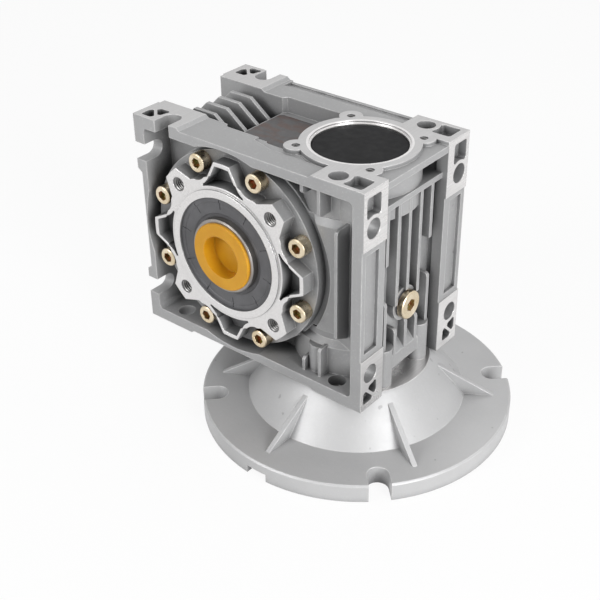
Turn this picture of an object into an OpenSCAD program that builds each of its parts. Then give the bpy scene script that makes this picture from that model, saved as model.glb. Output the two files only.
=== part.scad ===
// Worm gear reducer with a hollow output shaft and a round motor flange.
// The worm stands along Z and the motor face is z = 0. The output axis runs along Y.

/* [Gear set] */
// Distance between the worm axis and the output axis
centre_distance = 50; // [49:0.5:52]
// Axial module of the worm
module_axial = 2.5; // [2.4:0.05:2.55]
// Teeth on the worm wheel
wheel_teeth = 30; // [28:1:31]
// Pressure angle of the worm thread
pressure_angle = 20; // [18:1:22]
// Width of the bronze rim
rim_w = 22; // [18:1:24]
// Side gap between worm thread and wheel teeth
tooth_gap = 0.14; // [0.1:0.02:0.3]
// Length of the threaded part of the worm
thread_len = 38; // [30:1:42]

/* [Body frame] */
// Height of the output axis over the motor face
axis_height = 92; // [90:1:96]
// Height of the body frame
body_h = 120; // [118:1:124]
// Output axis to the finned left face
body_left = 60; // [59:1:64]
// Output axis to the right face
body_right = 84; // [82:1:88]
// Width of the body over its two frames
body_w = 85; // [84:1:90]
// Thickness of the frame rails
rail_t = 6.5; // [5:0.5:7.5]
// Depth of the rail relief between the machined pads
relief = 1.4; // [0.8:0.2:2]
// Length of the machined pads on the top and bottom faces
pad_len = 30; // [26:1:31]
// Inner edge of the right pads from the middle plane
pad_inner = 25.4; // [25:0.2:26.5]
// Thickness of the side webs behind the frames
web_t = 3.5; // [3:0.5:4]
// Outer face of the side webs from the middle plane
web_y = 24.5; // [24:0.5:25]

/* [Mounting holes] */
// Diameter of the foot holes in the top and bottom faces
foot_hole_d = 9.4; // [8:0.2:10]
// Diameter of the foot holes in the right face
end_hole_d = 10.2; // [9:0.2:10.6]
// Width of the open notches at the left
notch_w = 9.8; // [9:0.2:10.4]
// Foot holes to the outer side of the body
foot_side = 7.5; // [7:0.5:8]
// Foot holes of the end faces to the top and bottom faces
foot_edge = 20; // [19:0.5:20.5]
// Foot holes of the top and bottom faces to the end faces
foot_end = 20; // [19:0.5:20.5]

/* [Output side] */
// Diameter of the hollow shaft bore
output_bore = 25; // [24:0.5:26]
// Outer diameter of the hollow shaft journals
output_shaft_d = 40; // [40:0.5:41]
// Length of the hollow shaft
output_len = 92; // [91:1:94]
// Width of the keyway in the hollow shaft
output_key_w = 8; // [6:1:8]
// Key depth over the bore
output_key_h = 3.3; // [2.5:0.1:3.6]
// Diameter of the raised pilot ring
pilot_d = 70; // [69.5:0.5:71]
// Bolt circle of the tapped holes on the output faces
face_pcd = 85; // [84:1:86]
// Diameter of the tapped holes on the output faces
face_tap_d = 7.6; // [6:0.2:8]
// How far the machined output faces stand out of the body sides
face_proud = 1; // [0.5:0.5:2]
// Outer radius of the lobed output face
lobe_r = 49.8; // [49:0.2:51]
// Radius of the cover plate
cover_r = 53; // [52.5:0.5:54]
// Thickness of the cover plate
cover_t = 6; // [5.5:0.5:7]
// Radius of the circle that carries the cover screws
cover_screw_r = 48; // [47.5:0.5:48.5]

/* [Input side] */
// Diameter of the motor flange
flange_d = 165; // [160:1:175]
// Thickness of the motor flange rim
flange_t = 10; // [9:0.5:12]
// Diameter of the motor register
register_d = 114.3; // [108:0.1:118]
// Depth of the motor register
register_h = 5.5; // [4:0.5:6.5]
// Bolt circle of the open slots
slot_pcd = 149.2; // [146:0.2:152]
// Width of the open slots
slot_w = 11.2; // [10:0.2:12]
// Number of stiffening ribs on the flange
flange_ribs = 6; // [4:1:8]
// Bore of the hollow worm shaft
motor_bore = 15.875; // [15:0.125:16.5]
// Width of the keyway in the worm shaft
motor_key_w = 4.76; // [4:0.01:5]
// Depth of the motor bore
motor_bore_len = 42; // [38:1:42]
// Diameter of the end cap
cap_d = 47; // [47:0.5:48.5]
// How far the end cap lies below the top face
cap_recess = 1.8; // [1:0.2:2.4]

/* [Fasteners] */
// Nominal diameter of the cover screws
screw_d = 6; // [5.5:0.5:6]
// Head diameter of the cover screws
screw_head_d = 10; // [9:0.5:10.5]
// Length of the cover screws under the head
screw_len = 16; // [14:1:18]
// Head diameter of the oil plug
oil_plug_d = 15; // [14:0.5:16]

/* [Cooling fins] */
// Thickness of the cooling fins
fin_t = 2.2; // [1.8:0.2:2.6]
// Spacing of the cooling fins
fin_pitch = 9.1; // [8.8:0.1:9.4]

/* [Hidden] */
$fn = 64;
eps = 0.01;

// Colours
cast = "silver";
steel = "lightsteelblue";
bronze = "darkgoldenrod";
zinc = "khaki";
rubber = "dimgray";
plug_yellow = "orange";

// Gear geometry, worm axis to wheel along the depth d
worm_pitch = PI * module_axial;
wheel_pr = module_axial * wheel_teeth / 2;
worm_pr = centre_distance - wheel_pr;
worm_tip = worm_pr + module_axial;
worm_root = worm_pr - 1.2 * module_axial;
throat = worm_pr - module_axial;
wheel_tip = wheel_pr + 1.5 * module_axial;
root_gap = 0.2 * module_axial;
worm_steps = 36;
rim_bore_r = 30;

// Body levels, measured from the output axis
top = body_h / 2;
half_w = body_w / 2;
foot_y = half_w - foot_side;
foot_z = top - foot_edge;
foot_left = body_left - foot_end;
foot_right = body_right - foot_end;
bottom_z = axis_height - top;
top_z = axis_height + top;
face_y = half_w + face_proud;
drum_r = 47;
boss_r = 54;
cavity_r = 43.5;
seat_y = face_y - 7.5 - cover_t;
cover_gap = 3.5;
case_r = 26;
upper_case_r = 30;
lower_case_r = 33;
middle_case_r = 32;
worm_cavity_r = 17.5;
ring_r = 29.5;
ear_xy = 21.6;
deck_z = top - 2;
deck_t = 3.5;
shelf_z = 43.5;
shelf_t = 3;
shelf_x = 31;
fin_x = 30.3;
pocket_depth = 4.5;
groove_step = 0.9;
end_wall_x = 24.5;
plate_z = 50;
plate_t = 4;
plate_left = 16;
trough_x = -14;
trough_y = 23.4;
ledge_z = 33.2;
panel_y = 15.5;
oil_level = 19;
oil_shank_r = 5;
oil_seat_x = 28.6;
oil_head_h = 2.8;
oil_shank_len = 11.6;
oil_washer_t = 1;
oil_key_d = 6.9;

// Bearings as bore, outer diameter, width, ball diameter and ball count
out_brg = [output_shaft_d, 68, 15, 8, 12];
low_brg = [25, 47, 12, 6.4, 10];
up_brg = [20, cap_d, 14, 7.9, 8];
race_gap = 0.1;
seal_w = 7.6;
seal_od = 62;
seal_gap = 0.4;
brg_y = face_y - seal_gap - seal_w - out_brg[2];
cavity_y = brg_y - 1.5;
low_brg_z = bottom_z + 11;
up_brg_z = top_z - 25;
spigot_h = 2;
spigot_r = 25.2;
in_seal_h = 7;
clip_t = 2;
clip_depth = 1.2;
clip_w = 3.5;
run_gap = 0.06;
cap_t = 6;
boss_screw_r = 31;
boss_screw_d = 6;
boss_screw_head_d = 10;
boss_screw_len = 20;
flange_wall = 10;
boss_d = 11;
boss_h = 15.5;
worm_low_z = 16;
cover_screws_n = 8;
o_ring_y = seat_y - 5;
o_ring_r = 1;
plug_flange_r = 18.3;
plug_bore_r = 11.4;
plug_len = 7.5;
plug_relief_r = 13;
plug_relief = 8;
pilot_h = 1;
lobe_wall = 2.2;
scallop_r = 8;
window_r = 36.8;

// Places the children on the output axis
module at_output() {
    translate([-centre_distance, 0, axis_height]) children();
}

// Cylinder along Y from y0 to y1
module y_cyl(r, y0, y1) {
    translate([0, y0, 0]) rotate([-90, 0, 0]) cylinder(r = r, h = y1 - y0);
}

// Cylinder along X from x0 to x1
module x_cyl(r, x0, x1) {
    translate([x0, 0, 0]) rotate([0, 90, 0]) cylinder(r = r, h = x1 - x0);
}

// Outline in the XZ plane given thickness from y0 to y1
module xz_plate(y0, y1) {
    translate([0, y1, 0]) rotate([90, 0, 0]) linear_extrude(y1 - y0) children();
}

// Box between two corners
module box(a, b) {
    translate(a) cube(b - a);
}

// Copies of the children on both sides of the middle plane
module both_sides() {
    children();
    mirror([0, 1, 0]) children();
}

// Rectangle between two corners with true round corners
module round_rect(a, b, r) {
    translate([a[0] + r, a[1]]) square([b[0] - a[0] - 2 * r, b[1] - a[1]]);
    translate([a[0], a[1] + r]) square([b[0] - a[0], b[1] - a[1] - 2 * r]);
    for (x = [a[0] + r, b[0] - r], y = [a[1] + r, b[1] - r]) translate([x, y]) circle(r, $fn = 24);
}

// Front view outline of a frame, with pads at its corners
module frame_outline() {
    slope = 2;
    left_relief = 2 * relief;
    pad_z = top - pad_len;
    l = -body_left;
    r = body_right;
    polygon([
        [l, top], [l + pad_len, top], [l + pad_len + slope, top - relief],
        [r - pad_len - slope, top - relief], [r - pad_len, top],
        [r, top], [r, pad_z], [r - relief / 2, pad_z], [r - relief / 2, -pad_z], [r, -pad_z], [r, -top],
        [r - pad_len, -top], [r - pad_len - slope, relief - top],
        [l + pad_len + slope, relief - top], [l + pad_len, -top],
        [l, -top], [l, -pad_z], [l + left_relief, slope - pad_z], [l + left_relief, pad_z - slope],
        [l, pad_z]]);
}

// Shallow corner pocket beside a foot hole, seen along the hole, with a rib if it leans
module pocket(lean = 0) {
    size = 10.6;
    near = 6;
    rib = 1.6;
    corner = 1.5;
    offset(r = corner, $fn = 16) offset(delta = -corner) difference() {
        translate([near, -size / 2]) square([size, size]);
        circle(near + 1);
        if (lean != 0) {
            translate([near + size / 2, 0]) rotate(45 * lean) square([rib, 2 * size], center = true);
        }
    }
}

// Holes, notches and pockets of one corner block on the top or bottom face
module top_foot_cuts(lean, open_notch) {
    left_d = open_notch ? notch_w : foot_hole_d;
    low_z = top - rail_t - 4;
    translate([foot_right, foot_y, low_z]) cylinder(d = foot_hole_d, h = rail_t + 5);
    translate([-foot_left, foot_y, low_z]) cylinder(d = left_d, h = rail_t + 5);
    translate([foot_right, foot_y, top - pocket_depth]) linear_extrude(pocket_depth + 1) pocket();
    translate([-foot_left, foot_y, top - pocket_depth]) linear_extrude(pocket_depth + 1)
        rotate(180) pocket(lean);
    if (open_notch) {
        box([-foot_left - notch_w / 2, foot_y, low_z], [-foot_left + notch_w / 2, half_w + 1, top + 1]);
    }
}

// Holes and pockets of the end faces, and the open notches of the left face
module end_foot_cuts(lean) {
    left = rail_t + 1 - body_left;
    for (z = [-foot_z, foot_z]) {
        translate([0, foot_y, z]) x_cyl(end_hole_d / 2, body_right - rail_t - 1, body_right + 1);
        translate([body_right - pocket_depth, foot_y, z]) rotate([0, z < 0 ? 90 : -90, 0])
            mirror([0, 0, z < 0 ? 0 : 1]) linear_extrude(pocket_depth + 1) pocket(z < 0 ? -lean : 0);
        translate([0, foot_y, z]) x_cyl(foot_hole_d / 2, -body_left - 1, left);
        box([-body_left - 1, foot_y, z - foot_hole_d / 2], [left, half_w + 1, z + foot_hole_d / 2]);
    }
}

// One frame on the +Y side, a tray of rails round the output boss
module frame(lean) {
    difference() {
        union() {
            xz_plate(web_y, half_w) difference() {
                frame_outline();
                round_rect([rail_t - body_left, rail_t - top], [body_right - rail_t, top - rail_t], 2.5);
            }
            xz_plate(web_y - web_t, web_y) intersection() {
                frame_outline();
                translate([1 - body_left, -top]) square([body_left + 32, body_h]);
            }
        }
        y_cyl(cover_r + cover_gap, seat_y, half_w + 1);
        top_foot_cuts(lean, true);
        mirror([0, 0, 1]) top_foot_cuts(lean, false);
        end_foot_cuts(lean);
        trough_end();
        mirror([0, 0, 1]) trough_end();
        if (lean > 0) {
            outer_groove();
        } else {
            inner_groove();
        }
        post_groove();
    }
}

// Widening of the trough between the rails, towards the worm case
module trough_end() {
    translate([0, 0, plate_z]) linear_extrude(top)
        polygon([[trough_x - 1.6, 0], [trough_x - 1.6, web_y - web_t], [trough_x, trough_y],
            [centre_distance, trough_y], [centre_distance, 0]]);
}

// Steps along the outer edge of the rear top rail, between its pads
module outer_groove() {
    step_y = half_w - 8.2;
    start = pad_len + 4 - body_left;
    box([start, step_y, top - relief - groove_step], [body_right - pad_len, half_w + 1, top + 1]);
    box([start, step_y + 2.7, top - relief - 2 * groove_step], [body_right - pad_len, half_w - 2, top + 1]);
}

// Steps along the inner edge of the front top rail, with a slanted start
module inner_groove() {
    end = body_right - pad_len;
    translate([0, 0, top - relief - groove_step]) linear_extrude(top)
        polygon([[7, 0], [7, trough_y + 3.2], [20, trough_y + 7], [end, trough_y + 7], [end, 0]]);
    translate([0, 0, top - relief - 2 * groove_step]) linear_extrude(top)
        polygon([[12, 0], [12, trough_y + 1], [16, trough_y + 2], [end, trough_y + 2], [end, 0]]);
}

// Vertical channel in the right post, between its pads
module post_groove() {
    inset = 3;
    deep = 2;
    box([body_right - relief / 2 - deep, pad_inner + inset + 1, pad_len - top + 3],
        [body_right + 1, half_w - inset, top - pad_len - 3]);
}

// Fins that wrap round the wheel drum at the left end
module wrap_fins() {
    crest = top - 2.6;
    left = body_left - 2.6;
    run = 13;
    for (i = [-1.5:1:1.5]) {
        xz_plate(i * fin_pitch - fin_t / 2, i * fin_pitch + fin_t / 2)
            polygon([
                [-18, plate_z - 2], [-30.6, crest], [-left + run, crest], [-left, crest - run],
                [-left, run - crest], [-left + run, -crest], [-30.6, -crest], [-18, 2 - plate_z]]);
    }
}

// Outline in the YZ plane given thickness from x - t / 2 to x + t / 2
module yz_plate(x, t) {
    translate([x - t / 2, 0, 0]) rotate([90, 0, 90]) linear_extrude(t) children();
}

// Upright fins beside the output boss on the +Y side, short above and below, long in the middle
module side_fins() {
    depth = 38;
    inner = web_y - web_t;
    thin = fin_t - 0.5;
    short = [[centre_distance - 5.2, 46], [centre_distance + 4.8, 37]];
    for (f = short, s = [0, 1]) {
        mirror([0, 0, s]) yz_plate(f[0], thin) polygon([
            [inner, top - rail_t], [depth, top - rail_t], [depth, f[1] + 1.2], [depth - 1.2, f[1]], [inner, f[1]]]);
    }
    yz_plate(centre_distance + 15, thin) polygon([
        [10, ledge_z], [depth - 2, ledge_z], [depth - 0.4, ledge_z - 0.8], [depth, ledge_z - 2], [depth, -26],
        [depth - 8, -30], [10, -30]]);
}

// Boss for a level plug beside the cover on the +Y side
module level_boss() {
    translate([centre_distance - 0.8, 0, 23]) y_cyl(6, 20, seat_y - 0.2);
}

// Fins of the right end face, with the shelf over them
module end_fins() {
    x0 = 20;
    x = centre_distance;
    upper = [[-2, 10.6], [-1, -16], [0, -12], [1, -16], [2, 10.6]];
    lower = [[-2, -10], [-1, -29.5], [0, -27.5], [1, -29.5], [2, -10]];
    for (f = upper) {
        box([x + x0, f[0] * fin_pitch - fin_t / 2, f[1]],
            [x + fin_x, f[0] * fin_pitch + fin_t / 2, shelf_z - 1]);
    }
    for (f = lower) {
        xz_plate(f[0] * fin_pitch - fin_t / 2, f[0] * fin_pitch + fin_t / 2) polygon([
            [x + x0, f[1]], [x + fin_x - 1.6, f[1]], [x + fin_x - 0.4, f[1] - 0.7], [x + fin_x, f[1] - 2],
            [x + fin_x, -45.5], [x + x0, -45.5]]);
    }
    xz_plate(-panel_y, panel_y) polygon([
        [x + x0, -38], [x + end_wall_x, -38], [x + fin_x, -45], [x + fin_x, rail_t + 1 - top],
        [x + end_wall_x + 1.5, rail_t - 0.5 - top], [x + x0, rail_t - 0.5 - top]]);
    box([x, -pad_inner, shelf_z - shelf_t], [x + shelf_x, pad_inner, shelf_z]);
    box([x + 15, -pad_inner - 2, rail_t - top + 4], [x + end_wall_x, pad_inner + 2, shelf_z]);
    both_sides() box([x + 10, pad_inner, rail_t - top], [body_right - rail_t + 1, pad_inner + 3, top - rail_t]);
}

// Case round the worm, with its top ring, deck and lower bosses
module worm_case() {
    step_z = bottom_z + 22;
    translate([0, 0, bottom_z]) cylinder(r = case_r, h = body_h);
    intersection() {
        union() {
            translate([0, 0, bottom_z]) cylinder(r = lower_case_r, h = step_z - bottom_z);
            translate([0, 0, step_z]) cylinder(r1 = lower_case_r, r2 = upper_case_r, h = 3);
            translate([0, 0, step_z + 3 - eps]) cylinder(r = upper_case_r, h = 4);
        }
        box([-60, -40, bottom_z], [end_wall_x, 40, axis_height]);
    }
    difference() {
        intersection() {
            union() {
                translate([0, 0, axis_height - 30]) cylinder(r = middle_case_r, h = ledge_z + 26);
                translate([0, 0, axis_height + ledge_z - 4 - eps])
                    cylinder(r1 = middle_case_r, r2 = upper_case_r + 0.3, h = 4);
            }
            box([-20, -40, bottom_z], [end_wall_x, 40, top_z]);
        }
        at_output() both_sides() y_cyl(cover_r + cover_gap, seat_y, half_w);
    }
    translate([0, 0, axis_height + ledge_z - 1]) cylinder(r = upper_case_r, h = deck_z - ledge_z + 1);
    translate([0, 0, axis_height + deck_z - eps]) cylinder(r = ring_r, h = top - deck_z + eps);
    for (x = [-ear_xy, ear_xy], y = [-ear_xy, ear_xy]) {
        translate([x, y, axis_height + plate_z - 1]) cylinder(r = 6, h = top - plate_z + 1);
    }
    for (a = [0:60:300]) {
        rotate(a + 30) translate([boss_screw_r, 0, bottom_z]) cylinder(d = boss_d, h = rail_t + boss_h);
    }
}

// Drum round the wheel, with the seat of the cover and the rear output boss
module wheel_drum() {
    y_cyl(drum_r, -web_y, web_y);
    y_cyl(boss_r, -seat_y, -trough_y);
    y_cyl(boss_r, trough_y, seat_y);
    y_cyl(cover_r, seat_y - 1, seat_y + cover_t);
    xz_plate(seat_y, face_y) lobe_outline();
}

// Everything cast in the housing, before machining
module housing_casting() {
    at_output() {
        frame(1);
        mirror([0, 1, 0]) frame(-1);
        both_sides() level_boss();
        wrap_fins();
        wheel_drum();
        end_fins();
        intersection() {
            both_sides() side_fins();
            difference() {
                box([-body_left, -half_w, -top], [body_right, half_w, top]);
                both_sides() y_cyl(cover_r + cover_gap, seat_y, half_w + 1);
            }
        }
        box([-plate_left, -web_y, plate_z - plate_t], [centre_distance - 20, web_y, plate_z]);
        box([centre_distance - 22, -pad_inner - 1, deck_z - deck_t],
            [body_right - 0.4, pad_inner + 1, deck_z]);
        box([centre_distance - 18, -web_y, rail_t - top - 2], [centre_distance + 20, web_y, 2 * rail_t - top]);
        translate([0, 0, -oil_level]) x_cyl(oil_plug_d / 2 + 1.8, centre_distance + 12, centre_distance + oil_seat_x);
    }
    worm_case();
}

// Hollows of the wheel, the worm and their bearings
module housing_bores() {
    at_output() {
        y_cyl(cavity_r, -half_w, cavity_y);
        y_cyl(out_brg[1] / 2, cavity_y - 1, brg_y + out_brg[2]);
        y_cyl(seal_od / 2, brg_y + out_brg[2] - 1, half_w + 10);
        both_sides() face_taps();
        for (a = [0:360 / cover_screws_n:359]) {
            rotate([0, a + 22.5, 0]) translate([cover_screw_r, 0, 0])
                y_cyl(screw_d / 2, -seat_y - 1, screw_len - cover_t - seat_y + 2);
        }
    }
    translate([0, 0, low_brg_z + low_brg[2] - 1])
        cylinder(r = worm_cavity_r, h = up_brg_z - low_brg_z - low_brg[2] + 2);
    translate([0, 0, bottom_z - 1]) cylinder(r = spigot_r, h = spigot_h + 1);
    translate([0, 0, bottom_z]) cylinder(d = low_brg[1], h = low_brg_z + low_brg[2] - bottom_z);
    translate([0, 0, low_brg_z - clip_t]) cylinder(r = low_brg[1] / 2 + clip_depth, h = clip_t);
    translate([0, 0, up_brg_z]) cylinder(d = cap_d, h = 40);
    translate([0, 0, up_brg_z + up_brg[2]]) cylinder(r = cap_d / 2 + clip_depth, h = clip_t);
    translate([0, 0, top_z - cap_recess + 0.6]) cylinder(r = cap_d / 2 + 0.8, h = 10);
    for (x = [-ear_xy, ear_xy], y = [-ear_xy, ear_xy]) {
        translate([x, y, top_z - 10]) cylinder(d = 4.2, h = 11);
    }
    for (a = [0:60:300]) {
        rotate(a + 30) translate([boss_screw_r, 0, bottom_z - 1])
            cylinder(d = boss_screw_d, h = boss_screw_len - flange_wall + 3);
    }
    translate([0, 0, axis_height - oil_level]) {
        x_cyl(oil_shank_r, oil_seat_x - 1.6 * oil_shank_len, fin_x);
        x_cyl(oil_plug_d / 2 + 0.6, oil_seat_x, 40);
    }
}

// Cast body that carries the gears
module housing() {
    color(cast) difference() {
        housing_casting();
        housing_bores();
    }
}

// Scallop round one cover screw, opening outwards
module scallop(grow = 0) {
    translate([cover_screw_r, 0]) circle(scallop_r + grow, $fn = 48);
    polygon([
        [41, 6.4 + grow], [47.6, 14.2 + grow], [56, 24], [56, -24], [47.6, -14.2 - grow], [41, -6.4 - grow]]);
}

// Lobed outline of the machined output faces
module lobe_outline() {
    difference() {
        circle(lobe_r, $fn = 96);
        for (a = [0:45:315]) rotate(a + 22.5) scallop();
    }
}

// Four hollow windows between the tapped ears
module lobe_windows() {
    for (a = [0:90:270]) {
        rotate(a) intersection() {
            difference() {
                circle(lobe_r - lobe_wall, $fn = 96);
                circle(window_r, $fn = 96);
                for (s = [-22.5, 22.5]) rotate(s) scallop(lobe_wall);
            }
            polygon([[0, 0], [60, -22.5], [60, 22.5]]);
        }
    }
}

// Tapped holes of the output face on the +Y side
module face_taps() {
    for (a = [45:90:315]) {
        rotate([0, a, 0]) translate([face_pcd / 2, 0, 0]) y_cyl(face_tap_d / 2, face_y - 13, face_y + 1);
    }
}

// Bolted cover with the front bearing and seal seats
module output_cover() {
    color(cast) at_output() difference() {
        union() {
            y_cyl(cover_r, -seat_y - cover_t, -seat_y);
            y_cyl(cavity_r - 0.02, -seat_y - 1, -cavity_y);
            xz_plate(-face_y, -seat_y - cover_t + eps) lobe_outline();
            y_cyl(pilot_d / 2, -face_y - pilot_h, -face_y + 1);
        }
        y_cyl(out_brg[1] / 2, -brg_y - out_brg[2], 0);
        y_cyl(seal_od / 2, -face_y - 5, 0);
        mirror([0, 1, 0]) face_taps();
        xz_plate(-face_y - 1, -seat_y - cover_t + 0.5) lobe_windows();
        for (a = [0:360 / cover_screws_n:359]) {
            rotate([0, a + 22.5, 0]) translate([cover_screw_r, 0, 0])
                y_cyl(screw_d / 2 + 0.3, -face_y, 0);
        }
        o_ring_groove();
    }
}

// Groove for the O-ring in the spigot of the cover
module o_ring_groove() {
    difference() {
        y_cyl(cavity_r + 1, -o_ring_y - o_ring_r - 0.2, o_ring_r + 0.2 - o_ring_y);
        y_cyl(cavity_r - 2 * o_ring_r, -o_ring_y - 2 * o_ring_r, 2 * o_ring_r - o_ring_y);
    }
}

// O-ring between cover and housing
module cover_o_ring() {
    color(rubber) at_output() translate([0, -o_ring_y, 0]) rotate([90, 0, 0])
        rotate_extrude() translate([cavity_r - o_ring_r, 0]) circle(o_ring_r - 0.05, $fn = 24);
}

// Socket head screw, its seat at the origin and its shank along +Z
module socket_screw(d, head_d, len) {
    difference() {
        union() {
            cylinder(d = d, h = len);
            translate([0, 0, -d + 0.5]) cylinder(d = head_d, h = d - 0.5);
            translate([0, 0, -d]) cylinder(d1 = head_d - 1, d2 = head_d, h = 0.5);
        }
        translate([0, 0, -d - 1]) cylinder(d = 0.95 * d, h = 1 + 0.5 * d, $fn = 6);
    }
}

// Screws of the output cover
module cover_screws() {
    color(zinc) at_output() for (a = [0:360 / cover_screws_n:359]) {
        rotate([0, a + 22.5, 0]) translate([cover_screw_r, -seat_y - cover_t, 0]) rotate([-90, 0, 0])
            socket_screw(screw_d, screw_head_d, screw_len);
    }
}

// Motor flange with its cone, ribs, register and open slots
module motor_flange() {
    cone_r = 57.8;
    neck_r = 39.5;
    inner_z = bottom_z - flange_wall;
    drain_w = 12;
    drain_h = 4.5;
    chamfer = 0.8;
    color(cast) difference() {
        union() {
            rotate_extrude() polygon([
                [spigot_r - 6, inner_z], [spigot_r - 6, bottom_z + spigot_h - 0.02],
                [spigot_r - 0.02, bottom_z + spigot_h - 0.02], [spigot_r - 0.02, bottom_z],
                [neck_r - 1, bottom_z], [neck_r, bottom_z - 1], [cone_r, flange_t],
                [flange_d / 2 - chamfer, flange_t], [flange_d / 2, flange_t - chamfer], [flange_d / 2, 0],
                [register_d / 2, 0], [register_d / 2, register_h], [45, register_h], [45, flange_t + 1],
                [36.5, inner_z]]);
            for (a = [0:360 / flange_ribs:359]) {
                rotate(a + 30) rotate([90, 0, 0]) translate([0, 0, -1.3]) linear_extrude(2.6)
                    polygon([[neck_r - 2, flange_t - 1], [73.3, flange_t - 1], [73.3, flange_t + 0.2],
                        [neck_r, bottom_z - 3], [neck_r - 2, bottom_z - 3]]);
            }
        }
        for (a = [45:90:315]) {
            rotate(a) {
                translate([slot_pcd / 2, 0, -1]) cylinder(d = slot_w, h = flange_t + 8);
                box([slot_pcd / 2, -slot_w / 2, -1], [flange_d, slot_w / 2, flange_t + 8]);
            }
        }
        for (a = [0:60:300]) {
            rotate(a + 30) translate([boss_screw_r, 0, 0])
                cylinder(r = boss_screw_d / 2 + 0.3, h = bottom_z + 1);
        }
        box([-drain_w / 2, -flange_d, -1], [drain_w / 2, 15 - flange_d / 2, drain_h]);
    }
}

// Screws that hold the motor flange, driven from below
module flange_screws() {
    color(zinc) for (a = [0:60:300]) {
        rotate(a + 30) translate([boss_screw_r, 0, bottom_z - flange_wall])
            socket_screw(boss_screw_d, boss_screw_head_d, boss_screw_len);
    }
}

// Triangles of a polygon, all from its first point
function fan(f) = [for (i = [1:len(f) - 2]) [f[0], f[i], f[i + 1]]];

// Half thickness of the worm thread at a radius
function thread_half(r) = worm_pitch / 4 - (r - worm_pr) * tan(pressure_angle);

// Worm thread as one closed surface that follows the helix, with its root cylinder
module worm_thread() {
    n = worm_steps;
    steps = 2 * floor((thread_len - 2 * thread_half(worm_root) - 0.4) / worm_pitch * n / 2);
    rad = [worm_root, worm_tip, worm_tip, worm_root];
    off = [-thread_half(worm_root), -thread_half(worm_tip), thread_half(worm_tip), thread_half(worm_root)];
    ribbon = [for (s = [0:steps], k = [0:3])
        let (a = (s - steps / 2) * 360 / n)
        [-rad[k] * cos(a), -rad[k] * sin(a), worm_pitch * (s - steps / 2) / n + off[k]]];
    rings = [for (z = [-thread_len / 2, thread_len / 2], i = [0:n - 1])
        let (a = (i - steps / 2) * 360 / n)
        [-worm_root * cos(a), -worm_root * sin(a), z]];
    low = 4 * (steps + 1);
    high = low + n;
    flanks = [for (s = [0:steps - 1], k = [0:2])
        [4 * s + k, 4 * s + 4 + k, 4 * s + 5 + k, 4 * s + 1 + k]];
    roots = [for (s = [0:steps - n - 1])
        [4 * s + 3, 4 * s + 7, 4 * (s + 1 + n), 4 * (s + n)]];
    foot = [for (s = [0:n - 2]) [low + s, low + s + 1, 4 * s + 4, 4 * s]];
    head = [for (s = [steps - n + 1:steps - 1])
        [4 * s + 3, 4 * s + 7, high + (s + 1) % n, high + s % n]];
    seams = concat(
        fan([low + n - 1, low, 0, 3, 4 * n, 4 * n - 4]),
        fan([4 * (steps - n) + 7, high + (steps + 1) % n, high + steps % n, 4 * steps + 3,
            4 * steps, 4 * (steps - n) + 3]),
        [[0, 1, 2, 3], [4 * steps + 3, 4 * steps + 2, 4 * steps + 1, 4 * steps]]);
    caps = [[for (i = [n - 1:-1:0]) low + i], [for (i = [0:n - 1]) high + i]];
    faces = concat(flanks, roots, foot, head, seams, caps);
    polyhedron(concat(ribbon, rings), [for (f = faces) [for (i = [len(f) - 1:-1:0]) f[i]]]);
}

// Worm shaft with its thread, journals and keyed motor bore
module worm_shaft() {
    low_end = low_brg_z + low_brg[2];
    core = worm_root - 0.5;
    end_z = up_brg_z + up_brg[2] + 1;
    half_thread = thread_len / 2;
    color(steel) difference() {
        union() {
            rotate_extrude() polygon([
                [0, worm_low_z], [low_brg[0] / 2 - 1, worm_low_z], [low_brg[0] / 2, worm_low_z + 1],
                [low_brg[0] / 2, low_end], [low_brg[0] / 2 + 2, low_end], [low_brg[0] / 2 + 2, low_end + 3],
                [core, low_end + 9], [core, up_brg_z - 7], [up_brg[0] / 2 + 3, up_brg_z - 4],
                [up_brg[0] / 2 + 3, up_brg_z], [up_brg[0] / 2, up_brg_z], [up_brg[0] / 2, end_z - 1],
                [up_brg[0] / 2 - 1, end_z], [0, end_z]]);
            translate([0, 0, axis_height]) worm_thread();
        }
        translate([0, 0, worm_low_z - 1]) cylinder(d = motor_bore, h = motor_bore_len + 1);
        box([0, -motor_key_w / 2, worm_low_z - 1],
            [motor_bore / 2 + 2.3, motor_key_w / 2, worm_low_z + motor_bore_len]);
    }
}

// Outer ring of a ball bearing standing on z = 0
module bearing_outer(b) {
    mid = (b[0] + b[1]) / 4;
    rotate_extrude() difference() {
        translate([mid + 0.32 * b[3], 0]) square([b[1] / 2 - mid - 0.32 * b[3], b[2]]);
        translate([mid, b[2] / 2]) circle(b[3] / 2 + race_gap);
    }
}

// Inner ring of a ball bearing
module bearing_inner(b) {
    mid = (b[0] + b[1]) / 4;
    rotate_extrude() difference() {
        translate([b[0] / 2, 0]) square([mid - 0.32 * b[3] - b[0] / 2, b[2]]);
        translate([mid, b[2] / 2]) circle(b[3] / 2 + race_gap);
    }
}

// Balls of a bearing
module bearing_balls(b) {
    mid = (b[0] + b[1]) / 4;
    for (i = [0:b[4] - 1]) rotate(i * 360 / b[4]) translate([mid, 0, b[2] / 2]) sphere(b[3] / 2, $fn = 32);
}

// Cage that spaces the balls, with round pockets through its wall
module bearing_cage(b) {
    mid = (b[0] + b[1]) / 4;
    half = 0.17 * b[3];
    difference() {
        rotate_extrude() translate([mid - half, 0.14 * b[2]]) square([2 * half, 0.72 * b[2]]);
        for (i = [0:b[4] - 1]) {
            rotate(i * 360 / b[4]) translate([0, 0, b[2] / 2]) x_cyl(b[3] / 2 + race_gap, mid / 2, b[1] / 2);
        }
    }
}

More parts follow.
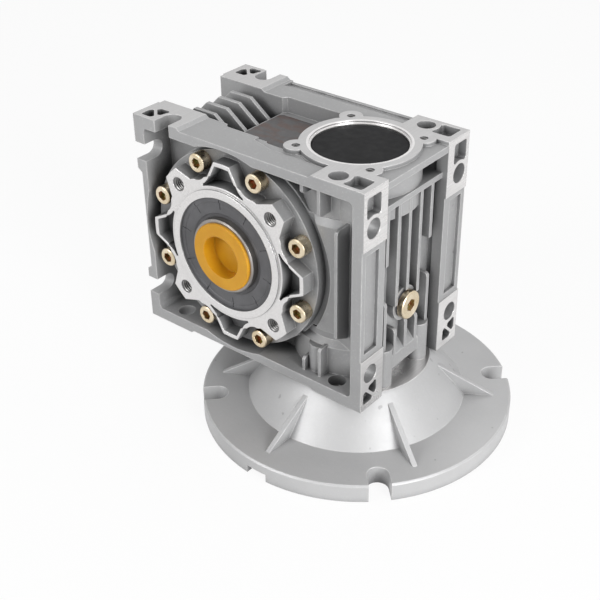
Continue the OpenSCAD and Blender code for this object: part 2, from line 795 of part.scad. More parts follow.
// Places a bearing in the cover, the back wall or on the worm shaft
module at_front() {
    at_output() translate([0, -brg_y, 0]) rotate([90, 0, 0]) children();
}
module at_rear() {
    at_output() translate([0, brg_y, 0]) rotate([-90, 0, 0]) children();
}
module at_lower() {
    translate([0, 0, low_brg_z]) children();
}
module at_upper() {
    translate([0, 0, up_brg_z]) children();
}

module front_bearing_outer() {
    color(steel) at_front() bearing_outer(out_brg);
}
module front_bearing_inner() {
    color(steel) at_front() bearing_inner(out_brg);
}
module front_bearing_balls() {
    color(steel) at_front() bearing_balls(out_brg);
}
module front_bearing_cage() {
    color(bronze) at_front() bearing_cage(out_brg);
}
module rear_bearing_outer() {
    color(steel) at_rear() bearing_outer(out_brg);
}
module rear_bearing_inner() {
    color(steel) at_rear() bearing_inner(out_brg);
}
module rear_bearing_balls() {
    color(steel) at_rear() bearing_balls(out_brg);
}
module rear_bearing_cage() {
    color(bronze) at_rear() bearing_cage(out_brg);
}
module lower_bearing_outer() {
    color(steel) at_lower() bearing_outer(low_brg);
}
module lower_bearing_inner() {
    color(steel) at_lower() bearing_inner(low_brg);
}
module lower_bearing_balls() {
    color(steel) at_lower() bearing_balls(low_brg);
}
module lower_bearing_cage() {
    color(bronze) at_lower() bearing_cage(low_brg);
}
module upper_bearing_outer() {
    color(steel) at_upper() bearing_outer(up_brg);
}
module upper_bearing_inner() {
    color(steel) at_upper() bearing_inner(up_brg);
}
module upper_bearing_balls() {
    color(steel) at_upper() bearing_balls(up_brg);
}
module upper_bearing_cage() {
    color(bronze) at_upper() bearing_cage(up_brg);
}

// Seal on the worm shaft, between the flange spigot and the circlip
module input_seal() {
    r = low_brg[0] / 2 + run_gap;
    z = bottom_z + spigot_h;
    color(rubber) translate([0, 0, z]) rotate_extrude() polygon([
        [r, 2], [r, 5], [r + 1.5, 5.5], [r + 1.5, in_seal_h - 1], [low_brg[1] / 2 - 2, in_seal_h - 1],
        [low_brg[1] / 2 - 2, in_seal_h], [low_brg[1] / 2, in_seal_h], [low_brg[1] / 2, 0],
        [low_brg[1] / 2 - 3, 0], [low_brg[1] / 2 - 4, 1], [r + 2, 1.4]]);
}

// Open retaining ring in a groove of the housing
module circlip(d) {
    rotate(30) rotate_extrude(angle = 320) translate([d / 2 + clip_depth - 0.1 - clip_w, 0])
        square([clip_w, clip_t - 0.1]);
}

module input_circlip() {
    color(steel) translate([0, 0, low_brg_z - clip_t + 0.1]) circlip(low_brg[1]);
}

module upper_circlip() {
    color(steel) translate([0, 0, up_brg_z + up_brg[2]]) circlip(cap_d);
}

// Closed cap over the upper bearing
module end_cap() {
    z = top_z - cap_recess;
    color([0.1, 0.1, 0.11]) difference() {
        union() {
            translate([0, 0, z - cap_t]) cylinder(d = cap_d, h = cap_t - 0.6);
            translate([0, 0, z - 0.6]) cylinder(d1 = cap_d, d2 = cap_d - 1.2, h = 0.6);
        }
        translate([0, 0, z - cap_t - 1]) cylinder(d = cap_d - 6, h = cap_t - 1.5);
    }
}

// Slope of the thread flank in the plane at y, against the depth d
function flank_slope(d, y, side) =
    let (r = norm([d, y])) worm_pitch * y / (2 * PI * r * r) - side * tan(pressure_angle) * d / r;

// Axial place of the thread flank in the plane at y
function flank_z(d, y, side) =
    side * (thread_half(norm([d, y])) + tooth_gap) - worm_pitch * atan2(y, d) / 360;

// Point of the wheel tooth that meets the flank at depth d
function wheel_point(d, y, side) =
    let (zc = (worm_pr - d) / flank_slope(d, y, side),
        turn = -(zc - flank_z(d, y, side)) / wheel_pr * 180 / PI,
        x = centre_distance - d)
    [x * cos(turn) - zc * sin(turn), x * sin(turn) + zc * cos(turn)];

// Depth at which the wheel flank reaches the radius r, by halving
function tip_depth(r, y, side, lo, hi, n = 14) =
    n == 0 ? (lo + hi) / 2 :
    let (mid = (lo + hi) / 2)
    norm(wheel_point(mid, y, side)) > r ? tip_depth(r, y, side, mid, hi, n - 1)
        : tip_depth(r, y, side, lo, mid, n - 1);

// Radius of the wheel over its teeth in the plane at y
function tip_radius(y) =
    abs(y) < throat ? min(wheel_tip, centre_distance - sqrt(throat * throat - y * y)) : wheel_tip;

// Half of one tooth space in the plane at y, from the tip to the root
function half_space(y, side, n) =
    let (deep = sqrt(worm_tip * worm_tip - y * y),
        shallow = tip_depth(tip_radius(y), y, side, worm_root - 2.5, deep),
        last = wheel_point(deep, y, side),
        root_r = centre_distance - deep - root_gap)
    concat([for (i = [0:n]) wheel_point(shallow + (deep - shallow) * i / n, y, side)],
        [last * root_r / norm(last)]);

// Bronze rim whose tooth spaces are generated plane by plane from the worm thread
module wheel_rim() {
    layers = 8;
    flank_n = 2;
    count = 2 * (flank_n + 2);
    ring = count * wheel_teeth;
    bore_n = 2 * wheel_teeth;
    bore_r = rim_bore_r / cos(180 / bore_n);
    bore = (layers + 1) * ring;
    outer = [for (j = [0:layers])
        let (y = (j / layers - 0.5) * rim_w,
            up = half_space(y, 1, flank_n),
            down = half_space(y, -1, flank_n),
            space = concat(down, [for (i = [len(up) - 1:-1:0]) up[i]]))
        for (t = [0:wheel_teeth - 1], p = space)
            let (a = t * 360 / wheel_teeth)
            [p[0] * cos(a) - p[1] * sin(a), y, p[0] * sin(a) + p[1] * cos(a)]];
    inner = [for (y = [-rim_w / 2, rim_w / 2], i = [0:bore_n - 1])
        let (a = (i - 2 / 3) * 360 / bore_n)
        [bore_r * cos(a), y, bore_r * sin(a)]];
    sides = [for (j = [0:layers - 1], i = [0:ring - 1])
        let (a = j * ring + i, b = j * ring + (i + 1) % ring)
        each [[a, b, b + ring], [a, b + ring, a + ring]]];
    walls = [for (i = [0:bore_n - 1])
        let (a = bore + i, b = bore + (i + 1) % bore_n)
        each [[a, b + bore_n, b], [a, a + bore_n, b + bore_n]]];
    front = [for (t = [0:wheel_teeth - 1])
        concat([for (i = [count:-1:0]) (t * count + i) % ring],
            [for (i = [0:2]) bore + (2 * t + i) % bore_n])];
    back = [for (t = [0:wheel_teeth - 1])
        concat([for (i = [0:count]) layers * ring + (t * count + i) % ring],
            [for (i = [2:-1:0]) bore + bore_n + (2 * t + i) % bore_n])];
    color(bronze) at_output() polyhedron(concat(outer, inner), concat(sides, walls, front, back));
}

// Hollow output shaft with the seat of the rim, journals and keyway
module output_hub() {
    j = output_shaft_d / 2;
    half = output_len / 2;
    key_top = output_bore / 2 + output_key_h;
    color(steel) at_output() difference() {
        rotate([90, 0, 0]) rotate_extrude() polygon([
            [0, -half], [j - 0.6, -half], [j, 0.6 - half], [j, -brg_y], [j + 3.5, -brg_y], [j + 3.5, -rim_w / 2 - 3],
            [rim_bore_r + 2, -rim_w / 2 - 3], [rim_bore_r + 2, -rim_w / 2], [rim_bore_r, -rim_w / 2],
            [rim_bore_r, rim_w / 2], [j + 3.5, rim_w / 2 + 3], [j + 3.5, brg_y], [j, brg_y],
            [j, half - 0.6], [j - 0.6, half], [0, half]]);
        y_cyl(output_bore / 2, -half - 1, half + 1);
        both_sides() y_cyl(plug_relief_r, half - plug_relief, half + 1);
        box([-output_key_w / 2, -half - 1, 0], [output_key_w / 2, half + 1, key_top]);
    }
}

// Radial shaft seal of the output, its open face on z = 0
module output_seal() {
    r = output_shaft_d / 2 + run_gap;
    ticks = 10;
    difference() {
        rotate_extrude() polygon([
            [seal_od / 2, 0], [seal_od / 2, seal_w], [seal_od / 2 - 2, seal_w], [seal_od / 2 - 2, 1.6],
            [r + 3, 1.6], [r + 3, 5], [r, 4], [r, 1.2], [r + 1.6, 0.9], [r + 2.4, 0.4], [seal_od / 2 - 3, 0.4],
            [seal_od / 2 - 2.6, 0]]);
        for (i = [0:ticks - 1]) rotate(i * 360 / ticks + 12) box([seal_od / 2 - 6.5, -0.25, -1], [seal_od / 2 - 1, 0.25, 0.7]);
    }
}

module front_output_seal() {
    color(rubber) at_output() translate([0, -face_y + 0.1, 0]) rotate([-90, 0, 0]) output_seal();
}

module rear_output_seal() {
    color(rubber) at_output() translate([0, face_y - 0.1, 0]) rotate([90, 0, 0]) output_seal();
}

// Oil plug on the right face
module oil_plug() {
    under = oil_seat_x + oil_washer_t;
    color(zinc) translate([0, 0, axis_height - oil_level]) difference() {
        union() {
            x_cyl(oil_shank_r, under - oil_shank_len, under);
            x_cyl(oil_plug_d / 2, under, under + oil_head_h);
            translate([under + oil_head_h, 0, 0]) rotate([0, 90, 0])
                cylinder(d1 = oil_plug_d, d2 = oil_plug_d - 0.8, h = oil_head_h / 7);
        }
        translate([under + oil_head_h / 4, 0, 0]) rotate([0, 90, 0])
            cylinder(d = oil_key_d, h = 2 * oil_head_h, $fn = 6);
    }
}

module oil_plug_washer() {
    color(rubber) translate([0, 0, axis_height - oil_level]) difference() {
        x_cyl(oil_plug_d / 2 - 0.1, oil_seat_x, oil_seat_x + oil_washer_t);
        x_cyl(oil_shank_r, oil_shank_r, 2 * oil_seat_x);
    }
}

// Cupped plug that closes one end of the hollow shaft for transport
module shaft_plug() {
    lip = 1.4;
    wall_end = 1.2;
    half = output_len / 2;
    outer = plug_relief_r - 0.1;
    rotate([-90, 0, 0]) translate([0, 0, half]) rotate_extrude() polygon([
        [0, -plug_len], [outer - 0.5, -plug_len], [outer, 0.5 - plug_len], [outer, 0], [plug_flange_r, 0],
        [plug_flange_r, lip - 0.5], [plug_flange_r - 0.5, lip], [plug_bore_r, lip],
        [plug_bore_r, wall_end - plug_len], [0, wall_end - plug_len]]);
}

module front_shaft_plug() {
    color(plug_yellow) at_output() mirror([0, 1, 0]) shaft_plug();
}

module rear_shaft_plug() {
    color(plug_yellow) at_output() shaft_plug();
}

housing();
output_cover();
cover_o_ring();
cover_screws();
motor_flange();
flange_screws();
worm_shaft();
lower_bearing_outer();
lower_bearing_inner();
lower_bearing_balls();
lower_bearing_cage();
upper_bearing_outer();
upper_bearing_inner();
upper_bearing_balls();
upper_bearing_cage();
input_seal();
input_circlip();
upper_circlip();
end_cap();
wheel_rim();
output_hub();
front_bearing_outer();
front_bearing_inner();
front_bearing_balls();
front_bearing_cage();
rear_bearing_outer();
rear_bearing_inner();
rear_bearing_balls();
rear_bearing_cage();
front_output_seal();
rear_output_seal();
oil_plug();
oil_plug_washer();
front_shaft_plug();
rear_shaft_plug();
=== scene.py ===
"""Looks of a worm gear reducer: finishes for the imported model, studio, camera and light."""

from math import cos, pi, radians, sin

import bpy
from mathutils import Matrix, Vector


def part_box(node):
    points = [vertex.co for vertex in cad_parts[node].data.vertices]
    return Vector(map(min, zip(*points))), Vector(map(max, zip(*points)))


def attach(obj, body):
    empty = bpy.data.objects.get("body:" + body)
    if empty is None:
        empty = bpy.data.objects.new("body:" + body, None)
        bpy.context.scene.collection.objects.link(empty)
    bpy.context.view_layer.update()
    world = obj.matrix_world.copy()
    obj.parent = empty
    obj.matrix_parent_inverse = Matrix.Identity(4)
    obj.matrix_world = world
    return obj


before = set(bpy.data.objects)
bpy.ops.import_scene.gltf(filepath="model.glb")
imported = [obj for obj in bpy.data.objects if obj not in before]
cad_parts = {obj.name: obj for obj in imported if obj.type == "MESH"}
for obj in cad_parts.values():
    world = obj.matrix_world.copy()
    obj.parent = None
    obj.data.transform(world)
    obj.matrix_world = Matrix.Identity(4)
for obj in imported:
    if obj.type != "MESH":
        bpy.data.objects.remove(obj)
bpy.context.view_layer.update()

MM = 0.001

# Places that the finishes and the extra pieces follow, in metres
AXIS_X = -50 * MM
AXIS_Z = 92 * MM
FACE_Y = 43.5 * MM
TAP_CIRCLE_R = 42.5 * MM
EAR_XY = 21.6 * MM
FLOOR_Z = 142 * MM
CAP_RING_R = 25.6 * MM
CAP_RING_DEPTH = 2.5 * MM
NECK_Z = 31.9 * MM
REGISTER_Z = 5.6 * MM
FACE_TOLERANCE = 0.1 * MM
TOP_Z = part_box("housing")[1][2]
BOTTOM_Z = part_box("housing")[0][2]
RIGHT_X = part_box("housing")[1][0]
LEFT_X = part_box("housing")[0][0]

# Radius, depth and pitch of the tapped holes
FACE_TAP = (3.8 * MM, 11 * MM, 1.25 * MM)
EAR_TAP = (2.1 * MM, 9 * MM, 0.8 * MM)

# Share of white that the world gives the object, and that the floor glows with when seen
WORLD_LIGHT = 0.23
FLOOR_GLOW = 0.9

NOISE_ROUGHNESS = 0.55
BEVEL_SAMPLES = 6
SKY_SAMPLES = 8


class Shader:
    """A material's node tree with short helpers that add and link nodes."""

    def __init__(self, name):
        self.material = bpy.data.materials.new(name)
        self.material.use_nodes = True
        self.tree = self.material.node_tree
        self.bsdf = self.tree.nodes["Principled BSDF"]
        self.object_coords = self.tree.nodes.new("ShaderNodeTexCoord").outputs["Object"]

    def add(self, kind, **props):
        node = self.tree.nodes.new(kind)
        for key, value in props.items():
            setattr(node, key, value)
        return node

    def link(self, source, target):
        self.tree.links.new(source, target)

    def set(self, **values):
        for key, value in values.items():
            self.bsdf.inputs[key.replace("_", " ")].default_value = value

    def math(self, operation, a, b=0.0):
        node = self.add("ShaderNodeMath", operation=operation)
        for socket, value in zip(node.inputs, (a, b)):
            if isinstance(value, (int, float)):
                socket.default_value = value
            else:
                self.link(value, socket)
        return node.outputs[0]

    def noise(self, scale, detail=4.0, stretch=(1, 1, 1)):
        mapping = self.add("ShaderNodeMapping")
        mapping.inputs["Scale"].default_value = stretch
        self.link(self.object_coords, mapping.inputs["Vector"])
        node = self.add("ShaderNodeTexNoise")
        node.inputs["Scale"].default_value = scale
        node.inputs["Detail"].default_value = detail
        node.inputs["Roughness"].default_value = NOISE_ROUGHNESS
        self.link(mapping.outputs[0], node.inputs["Vector"])
        return node.outputs["Fac"]

    def ramp(self, source, low, high, out_low=0.0, out_high=1.0):
        node = self.add("ShaderNodeMapRange")
        node.inputs["From Min"].default_value = low
        node.inputs["From Max"].default_value = high
        node.inputs["To Min"].default_value = out_low
        node.inputs["To Max"].default_value = out_high
        self.link(source, node.inputs["Value"])
        return node.outputs[0]

    def mix(self, factor, a, b):
        # Inputs 0, 6 and 7 are the factor and the two colours, output 2 their mix
        node = self.add("ShaderNodeMix", data_type="RGBA")
        for socket, value in zip((node.inputs[0], node.inputs[6], node.inputs[7]), (factor, a, b)):
            if isinstance(value, (int, float)):
                socket.default_value = value
            elif isinstance(value, tuple):
                socket.default_value = (*value, 1.0)
            else:
                self.link(value, socket)
        return node.outputs[2]

    def color_between(self, noise, dark, light):
        """Colour that drifts from dark to light with a noise."""
        color = self.mix(self.ramp(noise, 0.3, 0.7), dark, light)
        self.link(color, self.bsdf.inputs["Base Color"])

    def roughness_between(self, scale, low, high):
        """Roughness that drifts from low to high with a noise of this scale."""
        rough = self.ramp(self.noise(scale, 2), 0.3, 0.7, low, high)
        self.link(rough, self.bsdf.inputs["Roughness"])

    def bump(self, heights, edge):
        """Chains (height, strength, distance) bumps on a normal softened by edge metres."""
        bevel = self.add("ShaderNodeBevel", samples=BEVEL_SAMPLES)
        bevel.inputs["Radius"].default_value = edge
        normal = bevel.outputs[0]
        for height, strength, distance in heights:
            node = self.add("ShaderNodeBump")
            node.inputs["Strength"].default_value = strength
            node.inputs["Distance"].default_value = distance
            self.link(height, node.inputs["Height"])
            self.link(normal, node.inputs["Normal"])
            normal = node.outputs[0]
        self.link(normal, self.bsdf.inputs["Normal"])

    def split_position(self):
        node = self.add("ShaderNodeSeparateXYZ")
        self.link(self.object_coords, node.inputs[0])
        return node.outputs

    def split_normal(self):
        coords = self.add("ShaderNodeTexCoord")
        node = self.add("ShaderNodeSeparateXYZ")
        self.link(coords.outputs["Normal"], node.inputs[0])
        return node.outputs

    def above(self, value, limit):
        return self.math("GREATER_THAN", value, limit)

    def open_sky(self, distance):
        """Near one on open faces, lower in corners and recesses."""
        node = self.add("ShaderNodeAmbientOcclusion", samples=SKY_SAMPLES)
        node.inputs["Distance"].default_value = distance
        return node.outputs["AO"]

    def edge_wear_and_highlight(self, radius):
        """One on outer edges, nothing on flats."""
        bevel = self.add("ShaderNodeBevel", samples=BEVEL_SAMPLES)
        bevel.inputs["Radius"].default_value = radius
        geometry = self.add("ShaderNodeNewGeometry")
        dot = self.add("ShaderNodeVectorMath", operation="DOT_PRODUCT")
        self.link(bevel.outputs[0], dot.inputs[0])
        self.link(geometry.outputs["Normal"], dot.inputs[1])
        return self.ramp(dot.outputs["Value"], 0.995, 0.90)


def cast_material(name, machined, painted_light_scale=1.0, open_at=0.62):
    """Silver painted casting whose paint is scaled per part as painted light and shade, bright
    where machined(shader) gives a share of one.

    The paint is darkened as painted shade where less than open_at of the sky near it is open.
    """
    s = Shader(name)
    cloud = s.noise(18, 5)
    grain = s.noise(900, 3)
    peel = s.noise(380, 2)
    # Painted light and shade: the one paint of the castings is scaled lighter or darker per part.
    low, high = 0.306 * painted_light_scale, 0.351 * painted_light_scale
    paint = s.mix(s.ramp(cloud, 0.3, 0.7), (low, low, 1.01 * low), (high, high, 1.006 * high))
    speck = s.ramp(grain, 0.58, 0.75)
    paint = s.mix(s.math("MULTIPLY", speck, 0.3), paint, (0.52, 0.525, 0.53))
    pits = s.ramp(s.noise(210, 1), 0.75, 0.79)
    paint = s.mix(s.math("MULTIPLY", pits, 0.4), paint, (0.13, 0.128, 0.125))
    # Outer edges lightened with a noise: partly paint rubbed off, partly a painted highlight along
    # the edges.
    edges = s.math("MULTIPLY", s.edge_wear_and_highlight(0.0009), s.ramp(s.noise(120, 4), 0.25, 0.6))
    paint = s.mix(s.math("MULTIPLY", edges, 0.6), paint, (0.72, 0.715, 0.71))
    # Painted shade: a near-black is mixed in where corners and recesses close off the sky, near
    # and far.
    near = s.ramp(s.open_sky(0.010), 0.18, open_at)
    far = s.ramp(s.open_sky(0.040), 0.08, 0.30, 0.35, 1.0)
    paint = s.mix(s.math("MULTIPLY", near, far), (0.050, 0.051, 0.053), paint)
    mask = machined(s)
    streak = s.noise(60, 3, stretch=(40, 1, 40))
    bright = s.mix(s.ramp(streak, 0.3, 0.7), (0.62, 0.608, 0.604), (0.76, 0.75, 0.745))
    s.link(s.mix(mask, paint, bright), s.bsdf.inputs["Base Color"])
    s.link(s.math("ADD", 0.25, s.math("MULTIPLY", mask, 0.6)), s.bsdf.inputs["Metallic"])
    rough = s.math("SUBTRACT", s.ramp(cloud, 0.2, 0.8, 0.48, 0.40), s.math("MULTIPLY", mask, 0.16))
    s.link(rough, s.bsdf.inputs["Roughness"])
    fine = s.math("MULTIPLY", peel, s.math("SUBTRACT", 1.0, mask))
    s.bump([(fine, 0.35, 0.0002), (streak, 0.05, 0.0001)], edge=0.0006)
    return s.material


def housing_machined(s):
    x, y, z = s.split_position()
    nx, _, nz = s.split_normal()
    top = s.math("MULTIPLY", s.above(z, TOP_Z - FACE_TOLERANCE), s.above(nz, 0.9))
    right = s.math("MULTIPLY", s.above(x, RIGHT_X - FACE_TOLERANCE), s.above(nx, 0.9))
    left = s.math("LESS_THAN", x, LEFT_X + FACE_TOLERANCE)
    bottom = s.math("LESS_THAN", z, BOTTOM_Z + FACE_TOLERANCE)
    rear = s.above(y, FACE_Y - FACE_TOLERANCE)
    radius = s.math("SQRT", s.math("ADD", s.math("MULTIPLY", x, x), s.math("MULTIPLY", y, y)))
    inside_ring = s.math("LESS_THAN", radius, CAP_RING_R)
    rim = s.math("MULTIPLY", inside_ring, s.above(z, TOP_Z - CAP_RING_DEPTH))
    mask = s.math("MULTIPLY", top, 0.4)
    for extra in (right, left, bottom, rear, rim):
        mask = s.math("MAXIMUM", mask, extra)
    return mask


def cover_machined(s):
    y = s.split_position()["Y"]
    ny = s.split_normal()["Y"]
    front = s.math("LESS_THAN", y, FACE_TOLERANCE - FACE_Y)
    return s.math("MULTIPLY", front, s.math("LESS_THAN", ny, -0.5))


def flange_machined(s):
    z = s.split_position()["Z"]
    nz = s.split_normal()["Z"]
    neck = s.math("MULTIPLY", s.above(z, NECK_Z), s.above(nz, 0.5))
    under = s.math("LESS_THAN", z, REGISTER_Z)
    down = s.math("LESS_THAN", nz, -0.9)
    return s.math("MAXIMUM", neck, s.math("MULTIPLY", under, down))


def zinc_material():
    s = Shader("yellow_zinc")
    tint = s.noise(160, 3)
    warm = s.mix(s.ramp(tint, 0.35, 0.65), (0.64, 0.53, 0.36), (0.79, 0.69, 0.53))
    film = s.mix(s.ramp(s.noise(420, 2), 0.42, 0.58), (0.30, 0.09, 0.03), (0.15, 0.15, 0.03))
    warm = s.mix(s.ramp(s.open_sky(0.005), 0.2, 0.8), film, warm)
    s.link(warm, s.bsdf.inputs["Base Color"])
    s.set(Metallic=1.0)
    s.roughness_between(500, 0.24, 0.36)
    s.bump([(s.noise(700, 2), 0.1, 0.0001)], edge=0.0003)
    return s.material


def steel_material(name, dark, light, rough):
    s = Shader(name)
    s.color_between(s.noise(90, 3), dark, light)
    s.set(Metallic=1.0)
    s.roughness_between(300, rough - 0.05, rough + 0.05)
    s.bump([(s.noise(600, 2), 0.06, 0.0001)], edge=0.0003)
    return s.material


def bronze_material():
    s = Shader("cut_bronze")
    s.color_between(s.noise(70, 4), (0.62, 0.36, 0.14), (0.72, 0.48, 0.22))
    s.set(Metallic=1.0)
    s.roughness_between(260, 0.25, 0.38)
    s.bump([(s.noise(500, 2), 0.08, 0.0001)], edge=0.0002)
    return s.material


def rubber_material(name, color, rough):
    s = Shader(name)
    s.color_between(s.noise(120, 3), color, tuple(1.5 * c for c in color))
    s.roughness_between(240, rough - 0.05, rough + 0.07)
    s.bump([(s.noise(800, 2), 0.12, 0.0001)], edge=0.0003)
    return s.material


def plug_material():
    s = Shader("yellow_plug")
    s.color_between(s.noise(60, 3), (0.46, 0.215, 0.005), (0.55, 0.275, 0.010))
    s.set(Subsurface_Weight=0.25, Subsurface_Radius=(0.006, 0.003, 0.001), Subsurface_Scale=0.5)
    s.set(Specular_IOR_Level=0.35)
    s.roughness_between(200, 0.38, 0.48)
    s.bump([(s.noise(300, 2), 0.08, 0.0002)], edge=0.0005)
    return s.material


def paint_nodes():
    zinc = zinc_material()
    steel = steel_material("turned_steel", (0.50, 0.51, 0.53), (0.62, 0.63, 0.65), 0.27)
    bronze = bronze_material()
    rubber = rubber_material("seal_rubber", (0.060, 0.060, 0.064), 0.42)
    cap = rubber_material("cap_rubber", (0.007, 0.007, 0.0075), 0.58)
    cap.node_tree.nodes["Principled BSDF"].inputs["Specular IOR Level"].default_value = 0.1
    plug = plug_material()
    finishes = {
        # The three castings share one paint: the scales 0.93, 0.88 and 1.3 are painted shade and
        # light, with the flange painted lighter, and the cover's 0.85 paints more shade into its
        # recesses.
        "housing": cast_material("cast_housing", housing_machined, 0.93),
        "output_cover": cast_material("cast_cover", cover_machined, 0.88, 0.85),
        "motor_flange": cast_material("cast_flange", flange_machined, 1.3),
        "end_cap": cap,
        "output_hub": steel_material("dark_steel", (0.27, 0.25, 0.235), (0.38, 0.36, 0.34), 0.34),
        "wheel_rim": bronze,
        "cover_screws": zinc,
        "flange_screws": zinc,
        "oil_plug": zinc,
    }
    for name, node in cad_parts.items():
        if name in finishes:
            finish = finishes[name]
        elif "cage" in name:
            finish = bronze
        elif "seal" in name or "o_ring" in name or "washer" in name:
            finish = rubber
        elif "shaft_plug" in name:
            finish = plug
        else:
            finish = steel
        node.material_slots[0].material = finish


def add_piece(name, verts, faces, material):
    """Mesh that rides on the fixed body and carries the material it is given."""
    mesh = bpy.data.meshes.new(name)
    mesh.from_pydata(verts, [], faces)
    mesh.materials.append(material)
    piece = bpy.data.objects.new(name, mesh)
    bpy.context.scene.collection.objects.link(piece)
    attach(piece, "root")


def thread_mesh(place, along, tap):
    """Vertices and faces of a tapped thread that winds down a hole from its mouth at place."""
    radius, depth, pitch = tap
    turn = 32
    start, half_width, height = 0.7, 0.27, 0.4  # in pitches
    root = radius + 0.02 * MM
    steps = int(depth / pitch * turn)
    across = Vector((1, 0, 0))
    third = along.cross(across)
    profile = ((root, -half_width), (radius - height * pitch, 0.0), (root, half_width))
    verts, faces = [], []
    for step in range(steps + 1):
        angle = 2 * pi * step / turn
        out = cos(angle) * across + sin(angle) * third
        down = (step / turn + start) * pitch
        for r, offset in profile:
            verts.append(place + out * r + along * (down + offset * pitch))
    for step in range(steps):
        a = 3 * step
        faces += [(a, a + 1, a + 4, a + 3), (a + 1, a + 2, a + 5, a + 4)]
    return verts, faces


def add_threads(name, places, along, tap, material):
    """One piece with the threads of several tapped holes."""
    verts, faces = [], []
    for place in places:
        some, quads = thread_mesh(place, along, tap)
        faces += [tuple(i + len(verts) for i in quad) for quad in quads]
        verts += some
    add_piece(name, verts, faces, material)


def shaded_thread_material():
    s = Shader("thread_in_painted_shade")
    # Painted shade: the threads are dark grey, standing in for the shade inside the tapped holes.
    s.color_between(s.noise(300, 2), (0.17, 0.167, 0.165), (0.32, 0.315, 0.31))
    s.set(Metallic=0.9)
    s.roughness_between(500, 0.25, 0.4)
    return s.material


def tap_threads():
    cut = shaded_thread_material()
    for side, name in ((-1, "front_tap_threads"), (1, "rear_tap_threads")):
        places = []
        for angle in (pi / 4, 3 * pi / 4, 5 * pi / 4, 7 * pi / 4):
            x = AXIS_X + TAP_CIRCLE_R * cos(angle)
            z = AXIS_Z + TAP_CIRCLE_R * sin(angle)
            places.append(Vector((x, side * FACE_Y, z)))
        add_threads(name, places, Vector((0, -side, 0)), FACE_TAP, cut)
    ears = [Vector((x, y, TOP_Z)) for x in (-EAR_XY, EAR_XY) for y in (-EAR_XY, EAR_XY)]
    add_threads("ear_tap_threads", ears, Vector((0, 0, -1)), EAR_TAP, cut)


def plate_material():
    s = Shader("plate_with_painted_shade")
    # Dark grey with brownish patches: partly the plate's own colour, partly painted shade that
    # sets it darker than the plate itself.
    patch = s.ramp(s.noise(110, 4, stretch=(1, 2.2, 1)), 0.44, 0.58)
    s.link(s.mix(patch, (0.083, 0.081, 0.083), (0.090, 0.063, 0.056)), s.bsdf.inputs["Base Color"])
    s.set(Metallic=0.3)
    s.roughness_between(260, 0.42, 0.55)
    s.bump([(s.noise(500, 2), 0.08, 0.0001)], edge=0.0002)
    return s.material


def trough_plate():
    """Thin bare plate on the floor of the top trough, cut round the worm case, in millimetres."""
    half, left, thick, lift = 18.6, -64.6, 0.5, 0.02
    chamfer = 1.5
    case_radius, shoulder_x, shoulder_y = 31.2, -28.6, 13.5
    steps = 24
    edge = []
    for step in range(steps + 1):
        y = -half + 2 * half * step / steps
        right = -((case_radius**2 - y * y) ** 0.5)
        edge.append((min(right, shoulder_x) if abs(y) > shoulder_y else right, y))
    outline = [
        (left + chamfer, -half),
        *edge,
        (left + chamfer, half),
        (left, half - chamfer),
        (left, chamfer - half),
    ]
    count = len(outline)
    verts = [Vector((x * MM, y * MM, FLOOR_Z + z * MM)) for z in (lift, thick) for x, y in outline]
    faces = [tuple(range(count - 1, -1, -1)), tuple(range(count, 2 * count))]
    faces += [(i, (i + 1) % count, count + (i + 1) % count, count + i) for i in range(count)]
    add_piece("trough_plate", verts, faces, plate_material())


def pose_camera():
    """Camera fitted to the photograph, from its azimuth, elevation, roll and distance."""
    azimuth, elevation, roll = radians(39.70), radians(32.73), radians(-0.88)
    distance = 0.60549
    target = Vector((-0.04062, 0.00266, 0.04555))
    focal_px = 1111.99
    image_px = 600
    back = Vector((sin(azimuth) * cos(elevation), -cos(azimuth) * cos(elevation), sin(elevation)))
    right = Vector((cos(azimuth), sin(azimuth), 0))
    up = back.cross(right)
    right_r = cos(roll) * right + sin(roll) * up
    up_r = -sin(roll) * right + cos(roll) * up
    data = bpy.data.cameras.new("camera")
    data.sensor_width = 36.0
    data.lens = data.sensor_width * focal_px / image_px
    data.clip_start = 0.01
    camera = bpy.data.objects.new("camera", data)
    bpy.context.scene.collection.objects.link(camera)
    matrix = Matrix((right_r, up_r, back)).transposed().to_4x4()
    matrix.translation = target + back * distance
    camera.matrix_world = matrix
    bpy.context.scene.camera = camera


def area_light(name, place, target, size, watts):
    data = bpy.data.lights.new(name, "AREA")
    data.shape = "RECTANGLE"
    data.size, data.size_y = size
    data.energy = watts
    light = bpy.data.objects.new(name, data)
    light.location = place
    light.rotation_euler = (Vector(target) - Vector(place)).to_track_quat("-Z", "Y").to_euler()
    bpy.context.scene.collection.objects.link(light)


def seen_directly(tree):
    """One for camera, glossy and transmission rays."""
    path = tree.nodes.new("ShaderNodeLightPath")
    seen = path.outputs["Is Camera Ray"]
    for ray in ("Is Glossy Ray", "Is Transmission Ray"):
        either = tree.nodes.new("ShaderNodeMath")
        either.operation = "MAXIMUM"
        tree.links.new(seen, either.inputs[0])
        tree.links.new(path.outputs[ray], either.inputs[1])
        seen = either.outputs[0]
    return seen


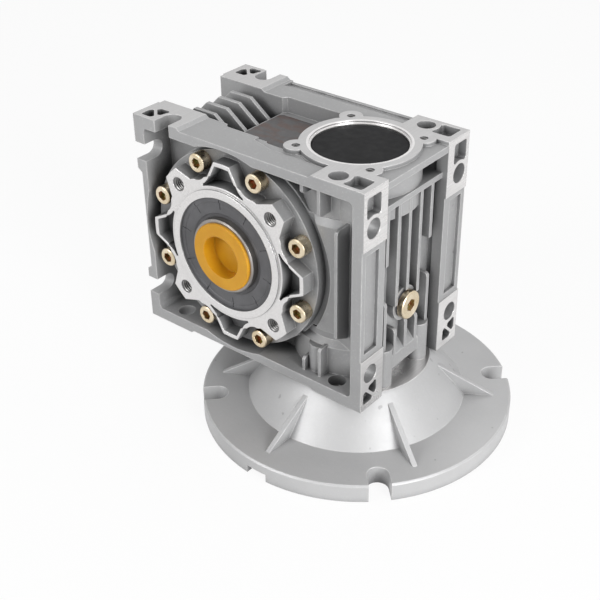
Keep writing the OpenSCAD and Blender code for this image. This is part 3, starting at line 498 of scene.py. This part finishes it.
def build_studio():
    """Pale floor and world that show white, and three soft lamps."""
    size = 6.0
    floor = bpy.data.objects.new("floor", bpy.data.meshes.new("floor"))
    corners = [(-size, -size, 0), (size, -size, 0), (size, size, 0), (-size, size, 0)]
    floor.data.from_pydata(corners, [], [(0, 1, 2, 3)])
    bpy.context.scene.collection.objects.link(floor)
    material = bpy.data.materials.new("floor")
    material.use_nodes = True
    tree = material.node_tree
    base = tree.nodes["Principled BSDF"]
    base.inputs["Base Color"].default_value = (0.82, 0.82, 0.82, 1)
    base.inputs["Roughness"].default_value = 0.7
    glow = tree.nodes.new("ShaderNodeEmission")
    glow.inputs["Color"].default_value = (1, 1, 1, 1)
    glow.inputs["Strength"].default_value = 1.0
    share = tree.nodes.new("ShaderNodeMath")
    share.operation = "MULTIPLY"
    share.inputs[1].default_value = FLOOR_GLOW
    tree.links.new(seen_directly(tree), share.inputs[0])
    mixer = tree.nodes.new("ShaderNodeMixShader")
    tree.links.new(share.outputs[0], mixer.inputs[0])
    tree.links.new(base.outputs[0], mixer.inputs[1])
    tree.links.new(glow.outputs[0], mixer.inputs[2])
    tree.links.new(mixer.outputs[0], tree.nodes["Material Output"].inputs[0])
    floor.data.materials.append(material)

    world = bpy.data.worlds.new("studio")
    world.use_nodes = True
    tree = world.node_tree
    background = tree.nodes["Background"]
    background.inputs["Color"].default_value = (1, 1, 1, 1)
    strength = tree.nodes.new("ShaderNodeMath")
    strength.operation = "MULTIPLY_ADD"
    strength.inputs[1].default_value = 1.0 - WORLD_LIGHT
    strength.inputs[2].default_value = WORLD_LIGHT
    tree.links.new(seen_directly(tree), strength.inputs[0])
    tree.links.new(strength.outputs[0], background.inputs["Strength"])
    bpy.context.scene.world = world

    aim = (-0.03, 0.0, 0.08)
    area_light("key", (-0.5, -1.2, 0.7), aim, (0.7, 0.7), 9.5)
    area_light("top", (0.0, 0.3, 1.2), aim, (1.8, 1.5), 7.5)
    area_light("side", (1.2, -0.4, 0.45), aim, (0.5, 0.8), 17)


paint_nodes()
tap_threads()
trough_plate()
pose_camera()
build_studio()
bpy.context.scene.view_settings.view_transform = "Standard"
